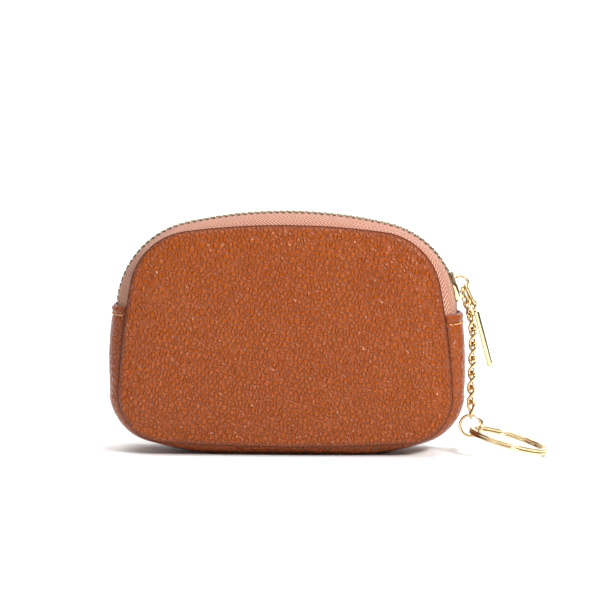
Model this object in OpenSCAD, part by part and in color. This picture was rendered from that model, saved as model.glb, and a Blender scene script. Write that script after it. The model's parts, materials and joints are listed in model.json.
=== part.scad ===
// Zippered coin pouch in soft leather, with a wire bail, a pull bar, a chain and a split key ring.
// Millimetres. Z is up, the front panel faces -Y and the zip closes toward +X.
// The origin is on the surface that the pouch stands on, under the middle of the body.

/* [Pouch body] */
// Half of the width over the side strip
half_w = 60.5; // [52:0.1:70]
// Height of the zip line at the middle
ridge_z = 81.1; // [76:0.1:90]
// Distance from the middle plane to each panel seam
seam_y = 12; // [9:0.25:18]
// How far the middle of each panel stands out from its seam
dome = 3.85; // [2:0.05:6]
// Thickness of the leather
leather_t = 1.1; // [0.8:0.05:1.8]
// Thickness of each folded hem
hem_t = 1.9; // [1.4:0.05:2.6]
// Thickness of the foam padding
foam_t = 1.5; // [0.8:0.1:2.5]
// Thickness of the lining cloth
lining_t = 0.4; // [0.2:0.05:0.8]
// Clearance between one layer and the next
gap = 0.1; // [0.05:0.05:0.3]
// Height of the folded hems
hem_z = 48.5; // [40:0.5:52]
// Thickness of the thread
thread_d = 0.4; // [0.3:0.05:0.6]

/* [Zip] */
// Radius of the zip line at each shoulder
shoulder_r = 29.5; // [26:0.1:33]
// Radius of the zip line over the top
top_r = 150; // [120:1:200]
// Thickness of the zip tape
tape_t = 0.6; // [0.4:0.05:0.9]
// Distance from one tooth to the next in one row
pitch = 2.15; // [1.8:0.05:2.6]
// Height of a tooth
tooth_h = 2.3; // [1.8:0.1:3]
// Length of a tooth across the zip
tooth_w = 2.9; // [2.2:0.1:3.6]

/* [Slider and pull] */
// Angle of the slider round the right shoulder, from level
slider_at = 16.5; // [12:0.5:60]
// Length of the slider
slider_l = 9.2; // [8:0.1:11]
// Width of the slider
slider_w = 7.4; // [6.8:0.1:9]
// Thickness of each slider plate
plate_t = 0.8; // [0.6:0.05:1.2]
// Radius of the bend of the bail, at the middle of its wire
bail_r = 2.6; // [2.2:0.1:3.4]
// Thickness of the bail wire
bail_d = 1; // [0.8:0.05:1.3]
// Length of the pull link between its two bars
link_l = 6.7; // [5:0.1:9]
// Length of the pull bar below its knuckle
pull_l = 22.5; // [16:0.5:30]
// Width of the pull bar
pull_w = 4.8; // [4:0.1:8]
// Thickness of the pull bar
pull_t = 1.7; // [1.2:0.1:2.4]

/* [Chain and rings] */
// Distance from one chain link to the next
chain_pitch = 4.92; // [4:0.01:5.5]
// Width over a chain link
chain_w = 3.9; // [3.2:0.1:4.6]
// Thickness of the chain wire
chain_d = 1; // [0.8:0.05:1.2]
// Radius of the jump ring, at the middle of its wire
jump_r = 3.65; // [3:0.05:4.5]
// Thickness of the jump ring wire
jump_d = 1.1; // [0.9:0.05:1.4]
// Outer radius of the key ring
key_r = 13.9; // [11:0.1:17]
// Width of the flat wire of the key ring
key_w = 1.9; // [1.4:0.1:2.4]
// Thickness of each turn of the key ring
key_t = 0.95; // [0.7:0.05:1.3]

/* [Hidden] */
$fn = 64;
run = 0.05; // running clearance between pieces that touch

// Seam line of a panel, right half: corner and shoulder circles joined by long flat arcs.
corner_c = [40.9, 20.3];
corner_r = 15;
seam_c = [30.5, 54.5];
seam_r = 21.3;
side_arc = 300;
over_arc = 250;
under_arc = 640;
// Outer line of the side strip, right half.
foot_r = 80;
foot_x = 22;
strip_r = 18;
strip_arc = 150;
strip_mid = 30;
sink = 0.25; // how much of the round underside is flattened by standing

// Circle centres, each found from the circles it touches.
function touch_both(c1, r1, c2, r2, r) =
  let (a = r - r1, b = r - r2, v = c2 - c1, d = norm(v), m = (a * a - b * b + d * d) / (2 * d))
  c1 + v * m / d + sqrt(a * a - m * m) * [-v.y, v.x] / d;
function on_axis(c, r, big, up) = [0, c.y + up * sqrt((big - r) * (big - r) - c.x * c.x)];
function heading(a, b) = atan2(b.y - a.y, b.x - a.x);

side_c = touch_both(corner_c, corner_r, seam_c, seam_r, side_arc);
over_c = on_axis(seam_c, seam_r, over_arc, -1);
under_c = on_axis(corner_c, corner_r, under_arc, 1);
top_c = [0, ridge_z - top_r];
shoulder_x = 27.5;
shoulder_c = [shoulder_x, top_c.y + sqrt((top_r - shoulder_r) * (top_r - shoulder_r) - shoulder_x * shoulder_x)];
top_a = heading(top_c, shoulder_c);
strip_x = half_w - strip_r;
strip_lift = foot_r - sink - sqrt((foot_r - strip_r) * (foot_r - strip_r) - (strip_x - foot_x) * (strip_x - foot_x));
strip_c = [strip_x, strip_lift];
foot_c = [foot_x, foot_r - sink];
flank_c = [half_w - strip_arc, strip_mid];

// Points of an arc as [x, z, outward x, outward z]. The end point is left to the next arc.
function arc(c, r, a, b, n) =
  [for (i = [0 : n - 1]) let (t = a + (b - a) * i / n) [c.x + r * cos(t), c.y + r * sin(t), cos(t), sin(t)]];
function both_sides(half) =
  concat([for (i = [len(half) - 1 : -1 : 1]) [-half[i][0], half[i][1], -half[i][2], half[i][3]]], half);
function both_sides_open(half, mid) =
  concat(half, [mid], [for (i = [len(half) - 1 : -1 : 0]) [-half[i][0], half[i][1], -half[i][2], half[i][3]]]);
function at_height(z) = asin((z - side_c.y) / side_arc);

bottom_a = heading(under_c, corner_c);
bottom_m = -90 + (bottom_a + 90) * 0.5;
seam_bottom = concat(arc(under_c, under_arc, -90, bottom_m, 3), arc(under_c, under_arc, bottom_m, bottom_a, 3));
seam_corner = arc(corner_c, corner_r, bottom_a, heading(side_c, corner_c), 9);
seam_low = arc(side_c, side_arc, heading(side_c, corner_c), at_height(hem_z), 5);
seam_high = arc(side_c, side_arc, at_height(hem_z), heading(side_c, seam_c), 2);
seam_shoulder = arc(seam_c, seam_r, heading(side_c, seam_c), heading(over_c, seam_c), 10);
seam_top = arc(over_c, over_arc, heading(over_c, seam_c), 90, 4);
seam_half = concat(seam_bottom, seam_corner, seam_low, seam_high, seam_shoulder, seam_top);
crown = [0, over_c.y + over_arc, 0, 1];
seam_line = concat(both_sides(seam_half), [crown]);

// The side strip is drawn between these two matching lines, from one hem to the other.
strip_seam = both_sides(concat(seam_bottom, seam_corner, seam_low, arc(side_c, side_arc, at_height(hem_z), 0, 1)));
strip_out = both_sides(concat(
  [for (i = [0 : 2]) [foot_x * i / 3, -sink, 0, -1]],
  arc(foot_c, foot_r, -90, heading(foot_c, strip_c), 3),
  arc(strip_c, strip_r, heading(foot_c, strip_c), heading(flank_c, strip_c), 9),
  arc(flank_c, strip_arc, heading(flank_c, strip_c), asin((hem_z - strip_mid) / strip_arc), 5),
  arc(flank_c, strip_arc, asin((hem_z - strip_mid) / strip_arc), 0, 1)));

// The zip tapes are drawn between these two, from one end of the zip to the other. Their ends run on under the hems.
tail = 9;
step_a = 14;
tape_seam = both_sides_open(concat(arc(side_c, side_arc, at_height(hem_z - 4.5), at_height(hem_z), 1),
  seam_high, seam_shoulder, seam_top), crown);
tape_out = both_sides_open(concat(arc(shoulder_c, shoulder_r, -tail, 0, 1), arc(shoulder_c, shoulder_r, 0, step_a, 2),
  arc(shoulder_c, shoulder_r, step_a, top_a, 10), arc(top_c, top_r, top_a, 90, 4)), [0, ridge_z, 0, 1]);

// Distance along the zip line, from the middle of the top, as [x, z, angle of the outward direction].
top_len = top_r * (90 - top_a) * PI / 180;
function zip_angle(s) = abs(s) < top_len ? 90 - abs(s) / top_r * 180 / PI : top_a - (abs(s) - top_len) / shoulder_r * 180 / PI;
function zip_point(s) =
  let (a = zip_angle(s), c = abs(s) < top_len ? top_c : shoulder_c, r = abs(s) < top_len ? top_r : shoulder_r,
    x = c.x + r * cos(a), z = c.y + r * sin(a))
  s < 0 ? [-x, z, 180 - a] : [x, z, a];
teeth_right = top_len + shoulder_r * (top_a - slider_at + 2) * PI / 180;
teeth_left = top_len + shoulder_r * (top_a - 4) * PI / 180;
tooth_t = 0.95;
half_tooth = tooth_w * 0.26; // how far a tooth reaches past the middle plane

// Slider frame: radii round the shoulder.
slide_in = shoulder_r - tooth_h / 2 - gap;
slide_out = shoulder_r + tooth_h / 2 + gap;
slider_top = slide_out + plate_t;
half_span = slider_l / 2 / shoulder_r * 180 / PI;
bail_leg = 1;
loop_c = shoulder_c + (slider_top + bail_leg) * [cos(slider_at), sin(slider_at)];
bar_d = 1;
arm_y = 1.55;
link_lean = 25;
pull_lean = 15;
pull_twist = 12;
eye_a = -15; // where the top bar of the pull link lies inside the bail
link_top = loop_c + (bail_r - bail_d / 2 - run - bar_d / 2) * [cos(eye_a), sin(eye_a)];

// Chain: each link leans by [toward +X going down, toward -Y going down], then hangs straight.
chain_a = -70; // where the first link hangs on the bail
lean = [[20, 32], [16, 22], [8, 8], [0, 2], [-1, 0], [-2, 0], [-2, 0], [-1, 0], [0, 0]];
links = len(lean);
function down(l) = [sin(l[0]) * cos(l[1]), -sin(l[1]), -cos(l[0]) * cos(l[1])];
hang = [loop_c.x + bail_r * cos(chain_a), 0, loop_c.y + bail_r * sin(chain_a)];
function joint(i) = i == 0 ? hang : joint(i - 1) + chain_pitch * down(lean[i - 1]);
seat = chain_d + run; // from the middle of one wire to the middle of the next, where two pieces touch
jump_seat = (chain_d + jump_d) / 2 + run;
jump_c = joint(links) + [0, 0, jump_seat - jump_r];
key_pin = jump_c + [0.2, 0, -1.35];
key_drop = 15.6;
key_mid = key_r - key_w / 2;

leather_c = [0.66, 0.33, 0.15];
tape_c = [0.72, 0.45, 0.36];
cloth_c = [0.55, 0.4, 0.3];
foam_c = [0.85, 0.82, 0.75];
gold_c = [0.85, 0.72, 0.45];
thread_c = [0.8, 0.5, 0.3];

// A closed solid through rings of matching points.
module loft(rings) {
  n = len(rings[0]);
  last = len(rings) - 1;
  polyhedron(
    points = [for (r = rings) each r],
    faces = concat(
      [[for (i = [0 : n - 1]) i]],
      [for (k = [0 : last - 1]) for (i = [0 : n - 1]) let (j = (i + 1) % n)
        each [[k * n + i, (k + 1) * n + i, (k + 1) * n + j], [k * n + i, (k + 1) * n + j, k * n + j]]],
      [[for (i = [n - 1 : -1 : 0]) last * n + i]]));
}

// A ring of the seam line, moved in by inset, out to y, and drawn together toward the middle of the panel.
function ring(inset, y, close = 1) =
  [for (p = seam_line) [(p[0] - inset * p[2]) * close, -seam_y - y, 42 + (p[1] - inset * p[3] - 42) * close]];
function sheet(profile) = [for (p = profile) ring(p[0], p[1], len(p) > 2 ? p[2] : 1)];

// Height of the dome at a distance in from the seam, as a share of its full height.
function swell(inset) = 1 - pow(1 - min(inset, 14) / 14, 3) * 0.6;
function layer(depth, rim, steps) = [for (s = steps) let (d = rim + s * (14 - rim)) [d, dome * swell(d) - depth]];
steps_in = [1, 0.6, 0.3, 0.1, 0];
steps_out = [0, 0.1, 0.3, 0.6, 1];
function flat_sheet(depth, t, rim) =
  sheet(concat([[14, dome - depth, 0.45]], layer(depth, rim, steps_in), layer(depth + t, rim, steps_out),
    [[14, dome - depth - t, 0.45]]));

module panel() {
  color(leather_c)
    loft(sheet([[14, dome, 0.45], [14, dome * 0.985], [9, dome * 0.93], [5, dome * 0.84], [2, dome * 0.7],
      [0.5, dome * 0.52], [0, dome * 0.32], [0.15, dome * 0.16], [0.9, 0.1], [1.6, 0.1], [1.6, dome * 0.2],
      [2.6, dome * 0.7 - leather_t], [5, dome * 0.84 - leather_t], [9, dome * 0.93 - leather_t],
      [14, dome * 0.985 - leather_t], [14, dome - leather_t, 0.45]]));
}

module foam() {
  color(foam_c)
    loft(flat_sheet(leather_t + 0.35, foam_t, 3));
}

module lining() {
  color(cloth_c)
    loft(flat_sheet(leather_t + 0.35 + foam_t + gap, lining_t, 3.4));
}

module back() {
  mirror([0, 1, 0])
    children();
}

// Cross-section of the side strip: how far it stands out, u = -1 at the front seam, 1 at the back seam.
function bulge(u) = pow(1 - pow(abs(u), 3), 0.6);
function wall(u, h, y, depth) =
  let (a = max(-1, u - 0.01), b = min(1, u + 0.01), v = [y * (b - a), h * (bulge(b) - bulge(a))])
  [y * u, h * bulge(u)] - depth * [-v.y, v.x] / norm(v);
cuts = [for (k = [-6 : 6]) sign(k) * pow(abs(k) / 6, 0.6)];
function strip_section(s, o, y, outer, inner) =
  let (root = [s[0] - 0.9 * s[2], s[1] - 0.9 * s[3]], v = [o[0], o[1]] - root, h = norm(v), e = v / h,
    pts = concat([for (u = cuts) wall(u, h, y, outer)], [for (k = [len(cuts) - 1 : -1 : 0]) wall(cuts[k], h, y, inner)]))
  [for (p = pts) [root.x + e.x * p.y, p.x, root.y + e.y * p.y]];

module side_strip() {
  last = len(strip_seam) - 1;
  color(leather_c)
    intersection() {
      loft([for (i = [0 : last]) strip_section(strip_seam[i], strip_out[i], seam_y - 0.2, 0,
        min(i, last - i) < 2 ? hem_t : leather_t)]);
      translate([-100, -50, 0])
        cube([200, 100, 100]);
    }
}

module strip_lining() {
  last = len(strip_seam) - 1;
  color(cloth_c)
    loft([for (i = [2 : last - 2]) strip_section(strip_seam[i], strip_out[i], seam_y - 0.2, leather_t + 0.3,
      leather_t + 0.3 + lining_t)]);
}

module seam_thread() {
  r = thread_d / 2;
  turns = [for (p = seam_line) [for (a = [0 : 60 : 300])
    [p[0] + (r * cos(a) - 0.45) * p[2], -seam_y - 0.05 + r * sin(a), p[1] + (r * cos(a) - 0.45) * p[3]]]];
  n = len(turns);
  color(thread_c)
    polyhedron(
      points = [for (t = turns) each t],
      faces = [for (k = [0 : n - 1]) for (i = [0 : 5]) let (j = (i + 1) % 6, m = (k + 1) % n)
        each [[k * 6 + i, m * 6 + j, m * 6 + i], [k * 6 + i, k * 6 + j, m * 6 + j]]]);
}

// A row of stitches across each hem, lying on the leather.
stitch_drop = 0.6; // how far down from the hem edge, in steps of the strip
module hem_stitches() {
  n = len(strip_seam) - 1;
  color(thread_c)
    for (i = [[0, 1], [n, n - 1]], u = [-0.62, -0.33, 0, 0.33, 0.62]) {
      s = strip_seam[i[0]] * (1 - stitch_drop) + strip_seam[i[1]] * stitch_drop;
      o = strip_out[i[0]] * (1 - stitch_drop) + strip_out[i[1]] * stitch_drop;
      root = [s[0] - 0.9 * s[2], s[1] - 0.9 * s[3]];
      v = [o[0], o[1]] - root;
      q = wall(u, norm(v), seam_y - 0.2, -thread_d / 2 - 0.16);
      e = v / norm(v);
      translate([root.x + e.x * q.y, q.x, root.y + e.y * q.y])
        rotate([90, 0, 0])
          rotate([0, sign(s[0]) * atan(norm(v) * (bulge(u - 0.05) - bulge(u + 0.05)) / 0.1 / seam_y), 0])
            cylinder(h = 1.8, d = thread_d, center = true);
    }
}

// One zip tape: level near the teeth, then falling away to the seam.
function slope(u) = u < 0.33 ? 1 : 1 - pow((u - 0.33) / 0.67, 2);
tape_cuts = [0.185, 0.33, 0.5, 0.7, 0.85, 1];
module tape() {
  last = len(tape_seam) - 1;
  color(tape_c)
    loft([for (i = [0 : last])
      let (s = tape_seam[i], o = tape_out[i], hidden = min(i, last - i) < 2,
        under = hidden ? 3.6 : 1, reach = seam_y - (hidden ? 0.6 : 0.25),
        root = [s[0] - under * s[2], s[1] - under * s[3]], v = [o[0], o[1]] - root)
      concat(
        [for (u = tape_cuts) [root.x + v.x * slope(u) + o[2] * tape_t / 2, -reach * u,
          root.y + v.y * slope(u) + o[3] * tape_t / 2]],
        [for (k = [len(tape_cuts) - 1 : -1 : 0]) let (u = tape_cuts[k])
          [root.x + v.x * slope(u) - o[2] * tape_t / 2, -reach * u,
            root.y + v.y * slope(u) - o[3] * tape_t / 2]])]);
}

module on_zip(s) {
  p = zip_point(s);
  translate([p[0], 0, p[1]])
    rotate([0, 90 - p[2], 0])
      children();
}

module teeth(first) {
  color(gold_c)
    for (s = [first - teeth_left : pitch : teeth_right])
      on_zip(s)
        translate([-tooth_t / 2, -tooth_w + half_tooth, -tooth_h / 2])
          cube([tooth_t, tooth_w, tooth_h]);
}

module top_stops() {
  color(gold_c)
    for (side = [-1, 1])
      on_zip(teeth_right + 3.2)
        translate([-1.1, side * 1.53 - 0.57, -tooth_h / 2])
          cube([2.2, 1.14, tooth_h]);
}

module bottom_stop() {
  color(gold_c)
    on_zip(-teeth_left - 2.1)
      translate([-1, -2, -tooth_h / 2])
        cube([2, 4, tooth_h]);
}

// Children are drawn in a plane across the shoulder: X out from its middle, Z toward the front.
module round_shoulder() {
  translate([shoulder_c.x, 0, shoulder_c.y])
    rotate([90, 0, 0])
      children();
}

module swept(r1, r2, y1, y2, a, b) {
  rotate([0, 0, a])
    rotate_extrude(angle = b - a)
      translate([r1, y1])
        square([r2 - r1, y2 - y1]);
}

module slider_body() {
  w = slider_w / 2;
  a = slider_at - half_span;
  b = slider_at + half_span;
  slit = tape_t / 2 + 0.15;
  color(gold_c)
    intersection() {
      round_shoulder()
        union() {
          swept(slide_out, slider_top, -w, w, a, b);
          swept(slide_in - plate_t, slide_in, -w, w, a, b);
          for (side = [-1, 1]) {
            swept(shoulder_r + slit, slide_out, min(side * w, side * (w - 0.8)), max(side * w, side * (w - 0.8)), a, b);
            swept(slide_in, shoulder_r - slit, min(side * w, side * (w - 0.8)), max(side * w, side * (w - 0.8)), a, b);
          }
          swept(slide_in, slide_out, -0.65, 0.65, a, a + 5);
        }
      // plan of the slider: wide where the rows part, narrower where they leave it joined
      round_shoulder()
        rotate([0, 0, slider_at])
          rotate([0, 90, 0])
            linear_extrude(height = 60)
              polygon([[-w, -4.4], [-w + 1.2, -slider_l], [w - 1.2, -slider_l], [w, -4.4], [w, 1], [w - 0.7, 3],
                [w - 1.6, slider_l], [-w + 1.6, slider_l], [-w + 0.7, 3], [-w, 1]]);
    }
}

module slider_bail() {
  color(gold_c)
    translate([loop_c.x, 0, loop_c.y])
      rotate([90, 0, 0])
        rotate([0, 0, slider_at - 90])
          union() {
            rotate_extrude(angle = 180)
              translate([bail_r, 0])
                circle(d = bail_d);
            for (x = [-bail_r, bail_r])
              translate([x, -bail_leg + 0.05, 0])
                rotate([-90, 0, 0])
                  cylinder(h = bail_leg - 0.05, d = bail_d);
          }
}

// Frame of the pull: X out, Y along its bars, -Z down its length.
module pull_frame(at, lean_a) {
  translate([at.x, 0, at.y])
    rotate([0, -lean_a, pull_twist])
      children();
}

// A frame of wire with rounded corners, in the plane of Y and Z, its top bar at the origin.
module wire_frame(w, l, r, d) {
  for (side = [-1, 1]) {
    translate([0, side * w / 2, -l + r])
      cylinder(h = l - 2 * r, d = d);
    translate([0, 0, side < 0 ? -l : 0])
      rotate([90, 0, 0])
        cylinder(h = w - 2 * r, d = d, center = true);
    for (end = [-1, 1])
      translate([0, side * (w / 2 - r), end < 0 ? -l + r : -r])
        rotate([90, 0, 90])
          rotate([0, 0, end > 0 ? (side > 0 ? 0 : 90) : (side > 0 ? 270 : 180)])
            rotate_extrude(angle = 90)
              translate([r, 0])
                circle(d = d);
  }
}

module pull_link() {
  color(gold_c)
    pull_frame(link_top, link_lean)
      wire_frame(arm_y * 2, link_l, 0.6, bar_d);
}

pull_at = [link_top.x + link_l * sin(link_lean) * cos(pull_twist), 0, link_top.y - link_l * cos(link_lean)];
module pull_bar() {
  knuckle_w = 1.8;
  knuckle_r = 1.15;
  top = 1.9;
  color(gold_c)
    translate([pull_at.x, link_l * sin(link_lean) * sin(pull_twist), pull_at.z])
      rotate([0, -pull_lean, pull_twist])
        difference() {
          union() {
            rotate([90, 0, 0])
              cylinder(h = knuckle_w, r = knuckle_r, center = true);
            translate([-pull_t / 2, -knuckle_w / 2, -top - 0.5])
              cube([pull_t, knuckle_w, top + 0.2]);
            translate([-pull_t / 2, 0, 0])
              rotate([0, 90, 0])
                linear_extrude(height = pull_t)
                  union() {
                    translate([top + 1.2, -pull_w / 2])
                      square([pull_l - top - 2.4, pull_w]);
                    translate([top, -pull_w / 2 + 1.2])
                      square([pull_l - top, pull_w - 2.4]);
                    for (x = [top + 1.2, pull_l - 1.2], y = [-pull_w / 2 + 1.2, pull_w / 2 - 1.2])
                      translate([x, y])
                        circle(r = 1.2);
                  }
          }
          rotate([90, 0, 0])
            cylinder(h = knuckle_w + 1, d = bar_d + 2 * run + 0.02, center = true);
        }
}

// A round-ended link from the joint below it up to the wire it hangs on, in the plane of X and Z.
module oval(length, width, d) {
  r = (width - d) / 2;
  straight = length - 2 * r;
  translate([0, 0, r])
    union() {
      rotate([90, 180, 0])
        rotate_extrude(angle = 180)
          translate([r, 0])
            circle(d = d);
      translate([0, 0, straight])
        rotate([90, 0, 0])
          rotate_extrude(angle = 180)
            translate([r, 0])
              circle(d = d);
      for (x = [-r, r])
        translate([x, 0, 0])
          cylinder(h = straight, d = d);
    }
}

module chain_link(i) {
  color(gold_c)
    translate(joint(i))
      rotate([-lean[i - 1][1], -lean[i - 1][0], 0])
        rotate([0, 0, i % 2 == 1 ? 90 : 0])
          oval(chain_pitch + seat, chain_w, chain_d);
}

module jump_ring() {
  color(gold_c)
    translate(jump_c)
      rotate([90, 0, 0])
        rotate_extrude()
          translate([jump_r, 0])
            circle(d = jump_d);
}

// Two turns of flat wire, one on the other. A short ramp takes the wire from the lower turn up to the other.
module key_ring() {
  lower = -key_t - 0.04;
  upper = 0.04;
  ramp = [for (k = [0 : 4]) [4 * k, lower + (upper - lower) * k / 4]];
  wire = concat([for (a = [18 : 6 : 354]) [a, lower]], ramp, [for (a = [22 : 6 : 358]) [a, upper]]);
  color(gold_c)
    translate(key_pin)
      rotate([0, key_drop, 0])
        translate([key_mid, 0, 0])
          loft([for (w = wire) [for (q = [[0, 0], [0, key_t], [key_w, key_t], [key_w, 0]])
            [(key_r - key_w + q.x) * cos(w[0]), (key_r - key_w + q.x) * sin(w[0]), w[1] + q.y]]]);
}

panel();  // front_panel
back() panel();  // back_panel
side_strip();
foam();  // front_foam
back() foam();  // back_foam
lining();  // front_lining
back() lining();  // back_lining
strip_lining();
seam_thread();  // front_seam_thread
back() seam_thread();  // back_seam_thread
hem_stitches();
tape();  // front_tape
back() tape();  // back_tape
teeth(0);  // front_teeth
back() teeth(pitch / 2);  // back_teeth
top_stops();
bottom_stop();
slider_body();
slider_bail();
pull_link();
pull_bar();
chain_link(1);  // chain_link_1
chain_link(2);  // chain_link_2
chain_link(3);  // chain_link_3
chain_link(4);  // chain_link_4
chain_link(5);  // chain_link_5
chain_link(6);  // chain_link_6
chain_link(7);  // chain_link_7
chain_link(8);  // chain_link_8
chain_link(9);  // chain_link_9
jump_ring();
key_ring();
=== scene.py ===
# %% [markdown]
# # A zippered coin pouch in pebbled leather
# The engineering model of the pouch is already made, and this lesson gives it its looks.
# We load that model as a fixed frame. Hard pieces are refined copies of its nodes, and soft
# pieces are built again as fine surfaces that lie where the plain ones lay.

# %% Load the frame
import json
import math

import bmesh
import bpy
import numpy as np
from mathutils import Matrix, Vector, noise


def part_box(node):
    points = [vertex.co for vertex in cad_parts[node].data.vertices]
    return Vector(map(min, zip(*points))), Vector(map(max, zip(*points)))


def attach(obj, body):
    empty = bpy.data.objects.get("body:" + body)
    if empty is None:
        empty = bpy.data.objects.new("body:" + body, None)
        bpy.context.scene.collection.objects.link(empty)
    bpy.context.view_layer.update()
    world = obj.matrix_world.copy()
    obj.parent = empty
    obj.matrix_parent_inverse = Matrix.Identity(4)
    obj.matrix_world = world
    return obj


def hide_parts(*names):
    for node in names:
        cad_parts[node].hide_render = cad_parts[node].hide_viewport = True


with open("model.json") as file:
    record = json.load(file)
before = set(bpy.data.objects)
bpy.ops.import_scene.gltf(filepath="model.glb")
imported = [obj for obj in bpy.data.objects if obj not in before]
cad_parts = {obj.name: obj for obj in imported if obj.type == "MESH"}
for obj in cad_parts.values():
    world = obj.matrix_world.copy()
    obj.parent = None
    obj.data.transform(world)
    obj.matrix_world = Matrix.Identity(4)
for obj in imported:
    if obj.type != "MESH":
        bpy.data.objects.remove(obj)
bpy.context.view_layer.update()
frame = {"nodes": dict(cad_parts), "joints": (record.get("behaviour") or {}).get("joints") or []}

MM = 0.001
joints = {j["name"]: Vector(j["pos_m"]) for j in frame["joints"]}

# %% [markdown]
# ## Helpers for node trees
# Every node tree below, for a material or for geometry, is written with one small function. It
# adds a node, sets its properties, and fills each input with a number or with a link. Three more
# name the nodes that come up most: a blend of two colours, a change of range, and arithmetic.

# %% Add a node
def add(tree, kind, inputs=None, **settings):
    made = tree.nodes.new(kind)
    for name, value in settings.items():
        setattr(made, name, value)
    for key, value in (inputs or {}).items():
        if isinstance(value, bpy.types.NodeSocket):
            tree.links.new(value, made.inputs[key])
        else:
            made.inputs[key].default_value = value
    return made


def blend(tree, factor, first, second):
    """Colour that goes from the first to the second as the factor goes from 0 to 1."""
    mix = add(tree, "ShaderNodeMix", {"Factor": factor, 6: first, 7: second}, data_type="RGBA")
    return mix.outputs[2]


def remap(tree, value, source, target, **settings):
    """Take a value from the source range, a pair, to the target range."""
    changed = add(tree, "ShaderNodeMapRange", {
        "Value": value, "From Min": source[0], "From Max": source[1],
        "To Min": target[0], "To Max": target[1]}, **settings)
    return changed.outputs[0]


def reckon(tree, operation, *values):
    return add(tree, "ShaderNodeMath", dict(enumerate(values)), operation=operation).outputs[0]


# %% [markdown]
# Colours are written as the hex values a paint chart would give, which are in sRGB. The renderer
# adds up light in linear values, so one function converts them.

# %% Hex colour to linear
def colour(hex_value):
    parts = [int(hex_value[i:i + 2], 16) / 255 for i in (1, 3, 5)]
    linear = [p / 12.92 if p <= 0.04045 else ((p + 0.055) / 1.055) ** 2.4 for p in parts]
    return (*linear, 1.0)


# %% [markdown]
# A material starts as one principled shader. `noise_at` and `finish_with` add what all of them
# share: a noise of a real size, and the links that end in colour, roughness and relief.

# %% Start and finish a material
def new_material(name):
    material = bpy.data.materials.new(name)
    material.use_nodes = True
    tree = material.node_tree
    tree.nodes.clear()
    shader = add(tree, "ShaderNodeBsdfPrincipled")
    add(tree, "ShaderNodeOutputMaterial", {"Surface": shader.outputs["BSDF"]})
    return material, tree, shader


def noise_at(tree, place, size, detail, **more):
    inputs = {"Vector": place, "Scale": 1 / size, "Detail": detail, **more}
    return add(tree, "ShaderNodeTexNoise", inputs).outputs["Fac"]


def finish_with(tree, shader, base, roughness, height, distance):
    bump = add(tree, "ShaderNodeBump", {"Height": height, "Distance": distance, "Strength": 1.0})
    tree.links.new(base, shader.inputs["Base Color"])
    tree.links.new(roughness, shader.inputs["Roughness"])
    tree.links.new(bump.outputs[0], shader.inputs["Normal"])


# %% [markdown]
# ## Leather
# The body is milled cow leather, dyed caramel and finished with a thin clear coat. Tumbling it
# raises round pebbles about 1.5 mm across with soft valleys between them, a little longer one way
# than the other. The valleys hold more dye. A Voronoi texture gives the cells, and a noise bends
# their borders so that no edge runs straight. Pores and slow colour drift come from finer and
# coarser noise. The attribute "rim" is 1 down in the seam groove and in the hem dent, where
# the colour is darkened toward deep brown as painted shade and the leather is made duller.

# %% Pebbled leather
PEBBLE = 1.55 * MM
PEBBLE_HEIGHT = 0.38 * MM
PORE = 0.35 * MM
DRIFT = 22 * MM
GRAIN_TURN = math.radians(38)
GRAIN_STRETCH = (1.15, 1.0, 0.82)
BORDER_BEND = 0.5
VALLEY = 0.24
VALLEY_DYE = 0.18
VALLEY_ROUGH, TOP_ROUGH = 0.34, 0.22
# Deep brown painted as shade in the seam groove and the hem dent.
GROOVE_SHADE_COLOUR = "#32100A"


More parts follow.
